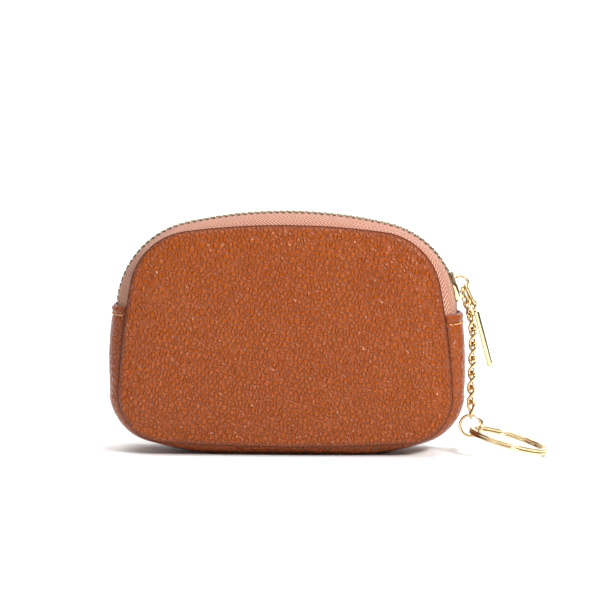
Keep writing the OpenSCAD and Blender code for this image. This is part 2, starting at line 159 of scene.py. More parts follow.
def pebbled_leather(name, height_scale, tan, deep, pale, shine):
    material, tree, shader = new_material(name)
    place = add(tree, "ShaderNodeTexCoord").outputs["Object"]
    bend = add(tree, "ShaderNodeTexNoise", {"Vector": place, "Scale": 0.5 / PEBBLE, "Detail": 2.0})
    centred = add(tree, "ShaderNodeVectorMath", {0: bend.outputs["Color"], 1: (0.5, 0.5, 0.5)},
                  operation="SUBTRACT")
    shift = add(tree, "ShaderNodeVectorMath",
                {0: centred.outputs[0], "Scale": BORDER_BEND * PEBBLE}, operation="SCALE")
    moved = add(tree, "ShaderNodeVectorMath", {0: place, 1: shift.outputs[0]}, operation="ADD")
    turned = add(tree, "ShaderNodeMapping", {
        "Vector": moved.outputs[0], "Rotation": (0.0, GRAIN_TURN, 0.0),
        "Scale": GRAIN_STRETCH}).outputs[0]
    border = add(tree, "ShaderNodeTexVoronoi", {
        "Vector": turned, "Scale": 1 / PEBBLE, "Randomness": 0.9},
        feature="DISTANCE_TO_EDGE").outputs["Distance"]
    pebble = remap(tree, border, (0.0, VALLEY), (0.0, 1.0), interpolation_type="SMOOTHERSTEP")
    wrinkle = add(tree, "ShaderNodeTexVoronoi", {"Vector": turned, "Scale": 2.3 / PEBBLE},
                  feature="SMOOTH_F1").outputs["Distance"]
    pores = noise_at(tree, place, PORE, 3.0)
    drift = noise_at(tree, place, DRIFT, 3.0, Roughness=0.6)
    rim = add(tree, "ShaderNodeAttribute", attribute_name="rim").outputs["Fac"]

    ground = blend(tree, drift, colour(tan), colour(pale))
    in_valley = remap(tree, pebble, (0.0, 1.0), (VALLEY_DYE, 0.0))
    dyed = blend(tree, in_valley, ground, colour(deep))
    speck = remap(tree, pores, (0.58, 0.78), (0.0, 0.18))
    pored = blend(tree, speck, dyed, colour(deep))
    # Painted shade: the colour goes toward deep brown down in the seam groove and the hem dent.
    base = blend(tree, reckon(tree, "MULTIPLY", rim, 0.85), pored, colour(GROOVE_SHADE_COLOUR))

    gloss = remap(tree, pebble, (0.0, 1.0), (VALLEY_ROUGH, TOP_ROUGH))
    dull = reckon(tree, "MULTIPLY_ADD", rim, 0.5, gloss)
    dome = reckon(tree, "MULTIPLY_ADD", border, 0.9, pebble)
    wrinkled = reckon(tree, "MULTIPLY_ADD", wrinkle, -0.18, dome)
    relief = reckon(tree, "MULTIPLY_ADD", pores, 0.08, wrinkled)
    finish_with(tree, shader, base, dull, relief, PEBBLE_HEIGHT * height_scale)
    shader.inputs["IOR"].default_value = 1.5
    shader.inputs["Specular IOR Level"].default_value = shine
    shader.inputs["Coat Weight"].default_value = shine * 0.12
    shader.inputs["Coat Roughness"].default_value = 0.3
    return material


panel_leather = pebbled_leather("milled_leather_panel", 1.0,
                                "#823600", "#4E1E08", "#8C4000", 0.3)
strip_leather = pebbled_leather("milled_leather_strip", 0.6,
                                "#803500", "#4E1E08", "#8A3E00", 0.3)
# The faces deep in the seam groove get this darker, less shiny leather; its darker colours are
# painted shade.
groove_shade_leather = pebbled_leather("leather_edge_painted_shade", 0.3,
                                "#6C2C0A", "#3C1608", "#76320A", 0.02)
print("leathers:", panel_leather.name, strip_leather.name, groove_shade_leather.name)

# %% [markdown]
# ## Zip tape
# The tape is polyester woven in herringbone: twill lines that turn back every few threads. The
# threads are 0.4 mm apart on the real tape, and the twill is drawn three times as coarse to show.
# The pattern reads a UV map in millimetres, across the tape and along it, so it follows every
# curve.

# %% Herringbone tape
TWILL = 1.3
BAND = 2.2
WARP = 0.5
FUZZ = 0.4 * MM
TAPE_DRIFT = 9 * MM
WEAVE_HEIGHT = 0.35 * MM


def woven_tape():
    material, tree, shader = new_material("herringbone_polyester_tape")
    lay = add(tree, "ShaderNodeUVMap", uv_map="lay").outputs["UV"]
    across, along = add(tree, "ShaderNodeSeparateXYZ", {"Vector": lay}).outputs[:2]
    zigzag = reckon(tree, "PINGPONG", across, BAND)
    slant = reckon(tree, "MULTIPLY_ADD", zigzag, 1.1, along)
    twill = reckon(tree, "SINE", reckon(tree, "MULTIPLY", slant, 2 * math.pi / TWILL))
    warp = reckon(tree, "SINE", reckon(tree, "MULTIPLY", across, 2 * math.pi / WARP))
    weave = reckon(tree, "MULTIPLY_ADD", warp, 0.35, twill)
    place = add(tree, "ShaderNodeTexCoord").outputs["Object"]
    fuzz = noise_at(tree, place, FUZZ, 3.0)
    drift = noise_at(tree, place, TAPE_DRIFT, 2.0)
    rim = add(tree, "ShaderNodeAttribute", attribute_name="rim").outputs["Fac"]

    height = remap(tree, weave, (-1.35, 1.35), (0.0, 1.0))
    threads = blend(tree, height, colour("#5A2C20"), colour("#CF957A"))
    shade = remap(tree, drift, (0.3, 0.7), (0.0, 0.25))
    faded = blend(tree, shade, threads, colour("#A96E56"))
    # Painted shade: the tape darkens where it falls into the seam groove.
    base = blend(tree, rim, faded, colour("#6E3626"))
    rough = remap(tree, fuzz, (0.0, 1.0), (0.7, 0.95))
    relief = reckon(tree, "MULTIPLY_ADD", fuzz, 0.3, height)
    finish_with(tree, shader, base, rough, relief, WEAVE_HEIGHT)
    shader.inputs["Sheen Weight"].default_value = 0.12
    shader.inputs["Sheen Roughness"].default_value = 0.5
    return material


tape_cloth = woven_tape()
print("tape:", tape_cloth.name)

# %% [markdown]
# ## Metals, thread and the hidden layers
# The slider, the pull, the chain and the rings are zinc alloy or steel wire under a thin bright
# plating of pale gold. The eye gets sharp reflections, faint polishing lines, and slightly duller
# patches where hands touch. A metal keeps the default IOR, because its colour sets its reflection.

# %% Plated gold and brass
HAND_PATCH = 3 * MM
POLISH_LINE = 0.25 * MM


def plated_metal(name, bright, dull, low, high, depth):
    material, tree, shader = new_material(name)
    place = add(tree, "ShaderNodeTexCoord").outputs["Object"]
    patch = noise_at(tree, place, HAND_PATCH, 4.0)
    stretched = add(tree, "ShaderNodeMapping", {"Vector": place, "Scale": (1.0, 1.0, 0.12)})
    lines = noise_at(tree, stretched.outputs[0], POLISH_LINE, 2.0)
    base = blend(tree, patch, colour(bright), colour(dull))
    rough = remap(tree, patch, (0.3, 0.7), (low, high))
    finish_with(tree, shader, base, rough, lines, depth * MM)
    shader.inputs["Metallic"].default_value = 1.0
    return material


gold = plated_metal("pale_gold_plated_alloy", "#E2CFAA", "#C2A87C", 0.1, 0.2, 0.004)
chain_gold = plated_metal("gold_plated_steel_wire", "#DCC292", "#C09C5E", 0.1, 0.2, 0.004)
tooth_brass = plated_metal("stamped_brass_teeth", "#8C8064", "#5E563F", 0.25, 0.45, 0.01)
print("metals:", gold.name, chain_gold.name, tooth_brass.name)

# %% [markdown]
# The sewing thread is twisted polyester. Fine slanted lines stand for its three plies. The lining
# is a thin plain weave and the padding an open foam: both are closed in, and are finished too,
# so that nothing is bare when the zip is drawn back.

# %% Thread, lining and foam
WAVE_PERIOD = 0.314


def soft_cloth(name, light, dark, grain, tilt, deep, rough):
    material, tree, shader = new_material(name)
    place = add(tree, "ShaderNodeTexCoord").outputs["Object"]
    turned = add(tree, "ShaderNodeMapping", {
        "Vector": place, "Rotation": (0.0, math.radians(tilt), 0.0)})
    rows = add(tree, "ShaderNodeTexWave", {
        "Vector": turned.outputs[0], "Scale": WAVE_PERIOD / (grain * MM),
        "Distortion": 1.2, "Detail": 2.0}).outputs["Fac"]
    fuzz = noise_at(tree, place, grain * MM / 2, 3.0)
    height = reckon(tree, "MULTIPLY_ADD", fuzz, 0.5, rows)
    base = blend(tree, height, colour(dark), colour(light))
    dull = remap(tree, fuzz, (0.0, 1.0), (rough - 0.1, rough))
    finish_with(tree, shader, base, dull, height, deep * MM)
    shader.inputs["Sheen Weight"].default_value = 0.05
    return material


hem_thread = soft_cloth("twisted_polyester_thread", "#E3A066", "#A8612F", 0.3, 30, 0.03, 0.6)
seam_thread = soft_cloth("twisted_polyester_seam_thread", "#8A4524", "#4E2010", 0.3, 30, 0.03, 0.7)
lining_cloth = soft_cloth("plain_weave_lining", "#9C7C64", "#6F523E", 0.4, 0, 0.03, 0.75)
padding_foam = soft_cloth("open_cell_foam", "#E6DFCF", "#B9AE97", 0.5, 20, 0.1, 0.95)
print("thread and cloth:", hem_thread.name, lining_cloth.name, padding_foam.name)

# %% [markdown]
# ## The lines the pouch is cut to
# A pattern cutter draws the panel as circles at the corners and shoulders, joined by long flat
# arcs. The same few numbers as in the engineering model are used here, in millimetres. Each point
# of a line is [x, z, outward x, outward z].

# %% Circles and arcs
corner_c, corner_r = np.array([40.9, 20.3]), 15.0
seam_c, seam_r = np.array([30.5, 54.5]), 21.3
SIDE_ARC, OVER_ARC, UNDER_ARC = 300.0, 250.0, 640.0
SEAM_Y = 12.0


def touch_both(c1, r1, c2, r2, r):
    a, b, v = r - r1, r - r2, c2 - c1
    d = np.linalg.norm(v)
    m = (a * a - b * b + d * d) / (2 * d)
    return c1 + v * m / d + math.sqrt(a * a - m * m) * np.array([-v[1], v[0]]) / d


def on_axis(c, r, big, up):
    return np.array([0.0, c[1] + up * math.sqrt((big - r) ** 2 - c[0] ** 2)])


def heading(a, b):
    return math.degrees(math.atan2(b[1] - a[1], b[0] - a[0]))


def arc(centre, radius, start, end, count):
    t = np.radians(start + (end - start) * np.arange(count) / count)
    out = np.stack([np.cos(t), np.sin(t)], 1)
    return np.hstack([centre + radius * out, out])


side_c = touch_both(corner_c, corner_r, seam_c, seam_r, SIDE_ARC)
over_c = on_axis(seam_c, seam_r, OVER_ARC, -1)
under_c = on_axis(corner_c, corner_r, UNDER_ARC, 1)


def at_height(z):
    return math.degrees(math.asin((z - side_c[1]) / SIDE_ARC))


def flip(line):
    return line[::-1] * np.array([-1, 1, -1, 1])


bottom_a = heading(under_c, corner_c)
low_a, high_a = heading(side_c, corner_c), heading(side_c, seam_c)
over_a = heading(over_c, seam_c)
print("side arc centre, mm:", side_c.round(2))

# %% [markdown]
# A line sampled at even steps sews well and simulates well, so the panel's outline is walked at
# a fixed spacing.

# %% The seam line of a panel, evenly spaced
def evenly(line, count, closed):
    ends = np.vstack([line, line[:1]]) if closed else line
    gone = np.concatenate([[0], np.cumsum(np.linalg.norm(np.diff(ends[:, :2], axis=0), axis=1))])
    want = np.linspace(0, gone[-1], count, endpoint=not closed)
    even = np.stack([np.interp(want, gone, ends[:, k]) for k in range(4)], 1)
    even[:, 2:] /= np.linalg.norm(even[:, 2:], axis=1)[:, None]
    return even, gone[-1]


half_seam = np.vstack([
    arc(under_c, UNDER_ARC, -90, bottom_a, 80), arc(corner_c, corner_r, bottom_a, low_a, 80),
    arc(side_c, SIDE_ARC, low_a, high_a, 80), arc(seam_c, seam_r, high_a, over_a, 80),
    arc(over_c, OVER_ARC, over_a, 90, 80)])
crown = np.array([[0, over_c[1] + OVER_ARC, 0, 1]])
whole_seam = np.vstack([half_seam, crown, flip(half_seam[1:])])
seam_line, seam_length = evenly(whole_seam, 260, True)
print("panel outline, mm:", round(seam_length, 1))

# %% [markdown]
# ## From rings of points to a mesh
# A soft piece is a grid: stations along a line, and points across it at each station. One helper
# joins them with quads, stores the UV map "lay" in millimetres and the attribute "rim", the
# mask of painted shade in the seam groove. Faces deep in that shade take a second, darker leather.

# %% Grid to mesh
def grid_piece(name, grid, material, rim, closed=False, lay=None, turn=False, edge=None):
    rows, cols = grid.shape[:2]
    verts = (grid.reshape(-1, 3) * MM).tolist()
    faces = []
    for i in range(rows if closed else rows - 1):
        j = (i + 1) % rows
        for k in range(cols - 1):
            quad = [i * cols + k, j * cols + k, j * cols + k + 1, i * cols + k + 1]
            faces.append(quad[::-1] if turn else quad)
    mesh = bpy.data.meshes.new(name)
    mesh.from_pydata(verts, [], faces)
    mesh.polygons.foreach_set("use_smooth", [True] * len(faces))
    mesh.attributes.new("rim", "FLOAT", "POINT").data.foreach_set("value", rim.ravel())
    if lay is not None:
        index = np.empty(len(mesh.loops), int)
        mesh.loops.foreach_get("vertex_index", index)
        mesh.uv_layers.new(name="lay").data.foreach_set("uv", lay.reshape(-1, 2)[index].ravel())
    mesh.materials.append(material)
    # Faces deep in the painted groove shade take the second, darker leather.
    if edge is not None:
        mesh.materials.append(edge)
        dark = rim.ravel()
        slots = [int(min(dark[list(face)]) > 0.5) for face in faces]
        mesh.polygons.foreach_set("material_index", slots)
    made = bpy.data.objects.new(name, mesh)
    bpy.context.scene.collection.objects.link(made)
    return made


def thicken(piece, thickness, offset=-1.0):
    solid = piece.modifiers.new("thickness", "SOLIDIFY")
    solid.thickness, solid.offset, solid.use_even_offset = thickness * MM, offset, True


def smoother(piece):
    subdivision = piece.modifiers.new("smooth", "SUBSURF")
    subdivision.levels = subdivision.render_levels = 1


# %% [markdown]
# ## The padded panels
# Each face of the pouch is one piece of leather over thin foam, sewn all round and turned, so its
# edge rolls into the seam and its middle stands out softly. We build the skin as rings that go
# in from the seam, then let a cloth simulation blow it up a little, with the seam held. The
# solver is happiest with pieces about a metre wide, so the skin is simulated ten times its size.

# %% Panel skin
DOME, EDGE_DROP, DOME_RUN = 3.85, 0.62, 14.0
LEATHER = 1.1
PANEL_C = np.array([0.0, 42.0])
LAST_RING, CROWN = 13.4, 0.32
WAVE_SCALE, WAVE = 0.045, 0.22
FULL_Z, FULLER = 30, 0.2
POLE_OUT = 0.45
roll_in = [(1.9, 0.1), (1.3, 0.1), (0.8, 0.3), (0.52, 0.75), (0.48, 1.05), (0.62, 1.4),
           (0.95, 1.8), (1.4, 2.12)]
# How far each ring of the rolled edge is darkened, as painted shade in the seam groove.
roll_rim = [1, 1, 1, 1, 0.85, 0.52, 0.18, 0.04]
inward = [2.0, 2.8, 3.8, 5.2, 6.8, 8.6, 10.4, 12.2]
to_middle = [1.0, 0.91, 0.81, 0.71, 0.6, 0.49, 0.38, 0.27, 0.17, 0.08]


def standing_out(inset):
    return DOME * (1 - EDGE_DROP * (1 - min(inset, DOME_RUN) / DOME_RUN) ** 3)


def panel_rings():
    """Each ring is its points in x and z, and how far it stands out from the seam."""
    at, out = seam_line[:, :2], seam_line[:, 2:]
    rings = [(at - inset * out, stands) for inset, stands in roll_in]
    rings += [(at - inset * out, standing_out(inset)) for inset in inward]
    last = at - LAST_RING * out
    for scale in to_middle:
        full = 1 - scale
        stands = standing_out(LAST_RING) + CROWN * full * (2 - full)
        rings.append((PANEL_C + (last - PANEL_C) * scale, stands))
    return rings


def panel_skin(name, side, seed):
    rings = panel_rings()
    count, cols = len(seam_line), len(rings)
    grid = np.zeros((count, cols, 3))
    for k, (spot, stands) in enumerate(rings):
        grid[:, k, 0], grid[:, k, 2] = spot[:, 0], spot[:, 1]
        grid[:, k, 1] = side * (SEAM_Y + stands)
    for i, k in np.ndindex(count, cols):
        calm = min(1.0, max(0.0, (k - 6) / 6))
        point = Vector(grid[i, k]) * WAVE_SCALE + Vector((seed, 0, 0))
        low = max(0.0, 1 - abs(grid[i, k, 2] - FULL_Z) / FULL_Z)
        grid[i, k, 1] += side * calm * (WAVE * noise.noise(point) + FULLER * low)
    rim = np.zeros((count, cols))
    rim[:, :len(roll_rim)] = np.array(roll_rim)
    piece = grid_piece(name, grid, panel_leather, closed=True, rim=rim, turn=side < 0,
                       edge=groove_shade_leather)
    edit = bmesh.new()
    edit.from_mesh(piece.data)
    pole = edit.verts.new((0, side * (SEAM_Y + DOME + POLE_OUT) * MM, PANEL_C[1] * MM))
    edit.verts.ensure_lookup_table()
    for i in range(count):
        a, b = edit.verts[i * cols + cols - 1], edit.verts[((i + 1) % count) * cols + cols - 1]
        edit.faces.new((a, b, pole) if side > 0 else (b, a, pole)).smooth = True
    edit.to_mesh(piece.data)
    edit.free()
    return piece


print("rings in a panel skin:", len(panel_rings()))

# %% [markdown]
# The simulation pins the rolled edge, pushes from inside, and runs for twenty frames without
# gravity. How far a point may move is capped, so that the panel keeps its size.

# %% Inflate a skin
SCALE_UP = 10.0
CAP = 0.8 * MM
FRAMES = 20
PRESSURE = 4


def inflate(piece, pinned):
    start = np.array([v.co for v in piece.data.vertices])
    piece.data.transform(Matrix.Scale(SCALE_UP, 4))
    group = piece.vertex_groups.new(name="seam")
    for index, weight in pinned:
        group.add([index], weight, "REPLACE")
    cloth = piece.modifiers.new("cloth", "CLOTH")
    cloth.settings.quality = 5
    cloth.settings.mass = 0.4
    cloth.settings.tension_stiffness = cloth.settings.compression_stiffness = 25
    cloth.settings.bending_stiffness = 2.0
    cloth.settings.vertex_group_mass = "seam"
    cloth.settings.use_pressure = True
    cloth.settings.uniform_pressure_force = PRESSURE
    cloth.settings.effector_weights.gravity = 0
    cloth.collision_settings.use_collision = False
    cloth.point_cache.frame_start, cloth.point_cache.frame_end = 1, FRAMES
    for step in range(1, FRAMES + 1):
        bpy.context.scene.frame_set(step)
    blown = piece.evaluated_get(bpy.context.evaluated_depsgraph_get())
    end = np.array([v.co for v in blown.data.vertices]) / SCALE_UP
    piece.modifiers.remove(cloth)
    piece.vertex_groups.clear()
    bpy.context.scene.frame_set(1)
    moved = end - start
    size = np.linalg.norm(moved, axis=1)[:, None] + 1e-9
    moved *= CAP * np.tanh(size / CAP) / size
    piece.data.vertices.foreach_set("co", (start + moved).ravel())
    piece.data.update()
    print(piece.name, "moved by up to", round(float(size.max()) / MM, 2), "mm, capped at", CAP / MM)


hold = [1, 1, 1, 1, 1, 1, 0.9, 0.6, 0.3, 0.1]


def padded_panel(name, side, seed, node):
    piece = panel_skin(name, side, seed)
    cols = len(roll_in) + len(inward) + len(to_middle)
    inflate(piece, [(i * cols + k, weight)
                    for i in range(len(seam_line)) for k, weight in enumerate(hold)])
    thicken(piece, LEATHER)
    smoother(piece)
    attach(piece, "pouch")
    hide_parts(node)
    return piece


front_leather = padded_panel("front_leather", -1, 3.0, "front_panel")
back_leather = padded_panel("back_leather", 1, 11.0, "back_panel")
print("panels:", front_leather.name, back_leather.name)

# %% [markdown]
# ## The side strip
# One long strip of leather runs from hem to hem under the pouch. It is drawn between two
# matching lines: the seam line, and an outer line as far out as the strip stands. Its underside
# is pressed flat by the pouch's weight. Near each end the strip is folded over to the inside and
# sewn through, so it has a round lip, then a dent at the stitches, then it fills out again.

# %% Matching lines for the strip
HALF_W = 60.5
FOOT_R, FOOT_X, STRIP_R, STRIP_ARC, STRIP_MID, SINK = 80.0, 22.0, 18.0, 150.0, 30.0, 0.25
strip_x = HALF_W - STRIP_R
rise = math.sqrt((FOOT_R - STRIP_R) ** 2 - (strip_x - FOOT_X) ** 2)
strip_c = np.array([strip_x, FOOT_R - SINK - rise])
foot_c = np.array([FOOT_X, FOOT_R - SINK])
flank_c = np.array([HALF_W - STRIP_ARC, STRIP_MID])
HEM_LEFT, HEM_RIGHT = 50.6, 48.2


def strip_half(hem):
    middle = -90 + (bottom_a + 90) * 0.5
    hem_in, hem_out = at_height(hem), math.degrees(math.asin((hem - STRIP_MID) / STRIP_ARC))
    foot_a, flank_a = heading(foot_c, strip_c), heading(flank_c, strip_c)
    flat = np.array([[FOOT_X * i / 24, -SINK, 0, -1] for i in range(24)])
    inner = np.vstack([
        arc(under_c, UNDER_ARC, -90, middle, 24), arc(under_c, UNDER_ARC, middle, bottom_a, 16),
        arc(corner_c, corner_r, bottom_a, low_a, 40), arc(side_c, SIDE_ARC, low_a, hem_in, 84),
        arc(side_c, SIDE_ARC, hem_in, 0, 1)])
    outer = np.vstack([
        flat, arc(foot_c, FOOT_R, -90, foot_a, 16), arc(strip_c, STRIP_R, foot_a, flank_a, 40),
        arc(flank_c, STRIP_ARC, flank_a, hem_out, 84), arc(flank_c, STRIP_ARC, hem_out, 0, 1)])
    return inner, outer


right_in, right_out = strip_half(HEM_RIGHT)
left_in, left_out = strip_half(HEM_LEFT)
strip_in = np.vstack([flip(left_in[1:]), right_in])
strip_out = np.vstack([flip(left_out[1:]), right_out])
print("strip stations, left and right:", len(left_in), len(right_in))

# %% [markdown]
# Across the strip, u runs from the front seam to the back seam, and `bulge` says how far out the
# leather stands there.

# %% Build the strip
ROOT = 0.9
HALF_STRIP = SEAM_Y - 0.2
STITCH_DOWN = 3.3
STRIP_WAVE, STRIP_WAVE_SCALE = 0.16, 0.12
ACROSS_POINTS = 41


def bulge(u):
    return (1 - abs(u) ** 3) ** 0.6


def hem_shape(down):
    """How far the leather stands out of its plain line at a distance below the end of a hem."""
    lip = 0.55 * math.exp(-((down - 1.25) / 1.0) ** 2)
    dent = -0.75 * math.exp(-((down - STITCH_DOWN) / 0.55) ** 2)
    turned_in = -0.9 * math.exp(-down / 0.28)
    tight = -0.25 * math.exp(-max(0.0, down - STITCH_DOWN) / 4.0)
    return lip + dent + turned_in + tight


def strip_frame(index):
    s, o = strip_in[index], strip_out[index]
    root = s[:2] - ROOT * s[2:]
    v = o[:2] - root
    return root, v / np.linalg.norm(v), np.linalg.norm(v)


# Painted shade: dark near both seam grooves of the strip and along the dent at the hem stitches.
def painted_groove_shade(u, down):
    groove = min(1.0, max(0.0, (abs(u) - 0.945) / 0.04))
    crease = 0.8 * math.exp(-((down - STITCH_DOWN) / 0.35) ** 2)
    return max(groove, crease)


steps_out = np.linalg.norm(np.diff(strip_out[:, :2], axis=0), axis=1)
run_out = np.concatenate([[0], np.cumsum(steps_out)])
even_u = np.linspace(-1, 1, ACROSS_POINTS)
across = np.sign(even_u) * np.abs(even_u) ** 0.62
strip_grid = np.zeros((len(strip_in), len(across), 3))
strip_rim = np.zeros(strip_grid.shape[:2])
for i in range(len(strip_in)):
    root, e, h = strip_frame(i)
    down = min(run_out[i], run_out[-1] - run_out[i])
    for k, u in enumerate(across):
        out = h * bulge(u) + hem_shape(down) * min(1, bulge(u) * 1.3)
        point = np.array([root[0] + e[0] * out, HALF_STRIP * u, root[1] + e[1] * out])
        seeded = Vector(point) * STRIP_WAVE_SCALE + Vector((5, 0, 0))
        out += STRIP_WAVE * bulge(u) * noise.noise(seeded)
        point[0], point[2] = root[0] + e[0] * out, max(0.02, root[1] + e[1] * out)
        strip_grid[i, k] = point
        strip_rim[i, k] = painted_groove_shade(u, down)
side_leather = grid_piece("side_leather", strip_grid, strip_leather, rim=strip_rim, turn=True,
                          edge=groove_shade_leather)
thicken(side_leather, LEATHER)
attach(side_leather, "pouch")
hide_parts("side_strip")
print("side strip:", len(strip_in), "stations")

# %% [markdown]
# ## The zip tapes
# Each tape lies level beside the teeth, then bends down to its seam. Its two ends run on under
# the hems. The cross-section repeats along the zip line, so the same grid helper makes it.

# %% Zip line
TOP_R, RIDGE_Z, SHOULDER_R, SHOULDER_X = 150.0, 81.1, 29.5, 27.5
top_c = np.array([0.0, RIDGE_Z - TOP_R])
shoulder_up = math.sqrt((TOP_R - SHOULDER_R) ** 2 - SHOULDER_X ** 2)
shoulder_c = np.array([SHOULDER_X, top_c[1] + shoulder_up])
top_a = heading(top_c, shoulder_c)
top_length = TOP_R * math.radians(90 - top_a)


def zip_at(s):
    """Point at a distance along the zip from the middle of the top, right of it if above 0."""
    if abs(s) < top_length:
        a, c, r = 90 - math.degrees(abs(s) / TOP_R), top_c, TOP_R
    else:
        a, c, r = top_a - math.degrees((abs(s) - top_length) / SHOULDER_R), shoulder_c, SHOULDER_R
    x, z = c[0] + r * math.cos(math.radians(a)), c[1] + r * math.sin(math.radians(a))
    return math.copysign(x, s), z


print("zip line, mm:", round(2 * top_length, 1), "over the top, then the shoulders")

# %% [markdown]
# A tape is drawn between the seam line and the zip line. Across it, u runs from the teeth to the
# seam: the edge carries a woven bead, then the tape falls away in a curve.

# %% Tapes
HEM = 48.5
TAPE = 0.6
BEAD_AT, BEAD_W, BEAD_OUT = 0.1, 0.05, 0.35
TAIL_STEPS = 8
hem_a = at_height(HEM)
tape_half_in = np.vstack([
    arc(side_c, SIDE_ARC, at_height(HEM - 4.5), hem_a, TAIL_STEPS),
    arc(side_c, SIDE_ARC, hem_a, high_a, 12), arc(seam_c, seam_r, high_a, over_a, 60),
    arc(over_c, OVER_ARC, over_a, 90, 28)])
tape_half_out = np.vstack([
    arc(shoulder_c, SHOULDER_R, -9, 0, TAIL_STEPS), arc(shoulder_c, SHOULDER_R, 0, 14, 12),
    arc(shoulder_c, SHOULDER_R, 14, top_a, 60), arc(top_c, TOP_R, top_a, 90, 28)])
tape_in = np.vstack([tape_half_in, crown, flip(tape_half_in)])
tape_out = np.vstack([tape_half_out, [[0, RIDGE_Z, 0, 1]], flip(tape_half_out)])


def fall(u):
    return 1.0 if u < 0.33 else 1 - ((u - 0.33) / 0.67) ** 2


def tape(name, side, node):
    cuts = np.concatenate([[0.07, 0.1], np.linspace(0.14, 1, 26)])
    steps = np.linalg.norm(np.diff(tape_out[:, :2], axis=0), axis=1)
    run = np.concatenate([[0], np.cumsum(steps)])
    grid = np.zeros((len(tape_in), len(cuts), 3))
    lay = np.zeros((len(tape_in), len(cuts), 2))
    rim = np.zeros(grid.shape[:2])
    for i in range(len(tape_in)):
        s, o = tape_in[i], tape_out[i]
        tail = max(0.0, 1 - min(i, len(tape_in) - 1 - i) / TAIL_STEPS)
        root = s[:2] - (1 + 2.6 * tail) * s[2:]
        v = o[:2] - root
        gone = 0.0
        for k, u in enumerate(cuts):
            bead = BEAD_OUT * math.exp(-((u - BEAD_AT) / BEAD_W) ** 2)
            soft = 0.1 * noise.noise(Vector((run[i] * 0.2, u * 2, side)))
            spot = root + v * fall(u) + o[2:] * (bead + soft * (u > 0.3))
            grid[i, k] = (spot[0], side * (SEAM_Y - 0.25 - 0.35 * tail) * u, spot[1])
            gone += np.linalg.norm(grid[i, k] - grid[i, k - 1]) if k else 0
            lay[i, k] = (gone, run[i])
            # The tape's edge by the seam, where shade is painted.
            rim[i, k] = min(1.0, max(0.0, (u - 0.9) / 0.07))
    piece = grid_piece(name, grid, tape_cloth, rim=rim, lay=lay, turn=side > 0)
    thicken(piece, TAPE, 0.0)
    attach(piece, "pouch")
    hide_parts(node)
    print(name, len(tape_in), "stations")


tape("front_zip_tape", -1, "front_tape")
tape("back_zip_tape", 1, "back_tape")

# %% [markdown]
# ## Geometry Nodes for what repeats along a line
# Teeth and stitches repeat at a fixed spacing along a line. The tree takes a line of edges, turns
# it into a curve, places Count points on it and puts a small object on each, turned along the
# line. It ends with Realize Instances and Set Material, and the result is kept as a plain mesh.

# %% Tree: repeat along a line
def new_tree(name, sockets):
    tree = bpy.data.node_groups.new(name, "GeometryNodeTree")
    tree.interface.new_socket("Geometry", in_out="INPUT", socket_type="NodeSocketGeometry")
    for title, kind in sockets:
        tree.interface.new_socket(title, in_out="INPUT", socket_type=kind)
    tree.interface.new_socket("Geometry", in_out="OUTPUT", socket_type="NodeSocketGeometry")
    return tree, add(tree, "NodeGroupInput").outputs


def end_tree(tree, geometry, finish):
    real = add(tree, "GeometryNodeRealizeInstances", {"Geometry": geometry})
    painted = add(tree, "GeometryNodeSetMaterial", {
        "Geometry": real.outputs[0], "Material": finish})
    add(tree, "NodeGroupOutput", {"Geometry": painted.outputs[0]})


def repeat_along_line():
    tree, given = new_tree("repeat_along_line", [
        ("Piece", "NodeSocketObject"), ("Count", "NodeSocketInt"),
        ("Finish", "NodeSocketMaterial")])
    curve = add(tree, "GeometryNodeMeshToCurve", {"Mesh": given["Geometry"]})
    spots = add(tree, "GeometryNodeResampleCurve", {
        "Curve": curve.outputs[0], "Count": given["Count"]})
    tangent = add(tree, "GeometryNodeInputTangent")
    facing = add(tree, "FunctionNodeAlignRotationToVector", {"Vector": tangent.outputs[0]},
                 axis="X", pivot_axis="Y")
    model = add(tree, "GeometryNodeObjectInfo", {"Object": given["Piece"]})
    placed = add(tree, "GeometryNodeInstanceOnPoints", {
        "Points": spots.outputs[0], "Instance": model.outputs["Geometry"],
        "Rotation": facing.outputs[0]})
    end_tree(tree, placed.outputs[0], given["Finish"])
    return tree


repeat_tree = repeat_along_line()
print("tree:", repeat_tree.name, len(repeat_tree.nodes), "nodes")

# %% [markdown]
# The second tree sweeps a round wire along a line. Its inputs are the wire's radius and how many
# sides it has. The chain links and the jump ring are made with it.

# %% Tree: sweep a wire
def sweep_wire():
    tree, given = new_tree("sweep_wire", [
        ("Radius", "NodeSocketFloat"), ("Sides", "NodeSocketInt"),
        ("Finish", "NodeSocketMaterial")])
    curve = add(tree, "GeometryNodeMeshToCurve", {"Mesh": given["Geometry"]})
    circle = add(tree, "GeometryNodeCurvePrimitiveCircle", {
        "Resolution": given["Sides"], "Radius": given["Radius"]})
    tube = add(tree, "GeometryNodeCurveToMesh", {
        "Curve": curve.outputs[0], "Profile Curve": circle.outputs[0], "Fill Caps": True})
    soft = add(tree, "GeometryNodeSetShadeSmooth", {"Geometry": tube.outputs[0]})
    end_tree(tree, soft.outputs[0], given["Finish"])
    return tree


wire_tree = sweep_wire()
print("tree:", wire_tree.name, len(wire_tree.nodes), "nodes")

# %% [markdown]
# A modifier knows its inputs by identifier, not by name, so the values are looked up in the
# tree's interface and set before the object is evaluated for the first time.

